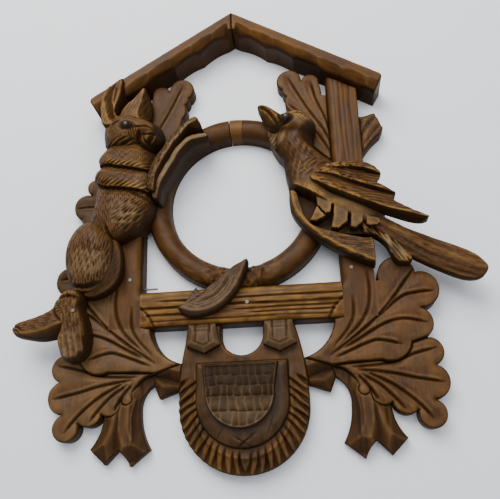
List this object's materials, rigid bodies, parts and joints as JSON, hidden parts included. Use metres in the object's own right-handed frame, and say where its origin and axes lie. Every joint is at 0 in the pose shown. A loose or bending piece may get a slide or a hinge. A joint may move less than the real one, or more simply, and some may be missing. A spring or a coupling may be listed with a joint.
{
  "type": "carved cuckoo clock front frame",
  "caption": "Hunter-style carved wooden front of a cuckoo clock, with a gable roof, a dial ring, oak leaves, a game bag, a hare and a bird.",
  "frame": {"origin": "centre of the dial opening, on the back plane that sits against the clock case", "axes": "+Z out of the carved face, +Y to the roof ridge, +X to the right as seen from the front"},
  "size_m": [0.2438, 0.262, 0.033],
  "materials": {
    "frame_wood": "stained walnut, satin varnish",
    "ring_wood": "stained walnut, satin varnish, turned",
    "splice_wood": "lighter stained wood, satin varnish",
    "leaf_wood": "stained walnut, satin varnish, carved",
    "bag_wood": "dark stained walnut, satin varnish, carved",
    "hare_wood": "stained walnut, worn golden on raised edges",
    "bird_wood": "stained walnut, worn golden on raised edges",
    "eye_glass": "glossy black bead",
    "pin_steel": "bright worn pin heads"
  },
  "bodies": {
    "root": {"back_leaf": "leaf_wood", "bag_back": "bag_wood", "bag_flap": "bag_wood", "bag_pouch": "bag_wood", "bag_tab_left": "bag_wood", "bag_tab_right": "bag_wood", "bird_body": "bird_wood", "bird_eye": "eye_glass", "bird_leg": "bird_wood", "bird_tail": "bird_wood", "bird_wing_far": "bird_wood", "bird_wing_near": "bird_wood", "branch_left": "leaf_wood", "branch_right": "leaf_wood", "cross_rail": "frame_wood", "cut_twig": "leaf_wood", "dial_ring": "ring_wood", "gable_board_left": "frame_wood", "gable_board_right": "frame_wood", "hare_body": "hare_wood", "hare_ear_far": "hare_wood", "hare_ear_near": "hare_wood", "hare_eye": "eye_glass", "hare_far_thigh": "hare_wood", "hare_foot_down": "hare_wood", "hare_foot_out": "hare_wood", "hare_foreleg_lower": "hare_wood", "hare_foreleg_upper": "hare_wood", "hare_haunch": "hare_wood", "hare_head": "hare_wood", "knuckle_left": "leaf_wood", "knuckle_right": "leaf_wood", "leaf_drooping_left": "leaf_wood", "leaf_drooping_right": "leaf_wood", "leaf_rising_left": "leaf_wood", "leaf_rising_right": "leaf_wood", "panel_pins": "pin_steel", "post_left": "frame_wood", "post_right": "frame_wood", "ring_splice": "splice_wood", "scroll_leaf": "leaf_wood", "side_brad": "pin_steel", "upper_leaf_left": "leaf_wood", "upper_leaf_right": "leaf_wood"}
  },
  "joints": []
}
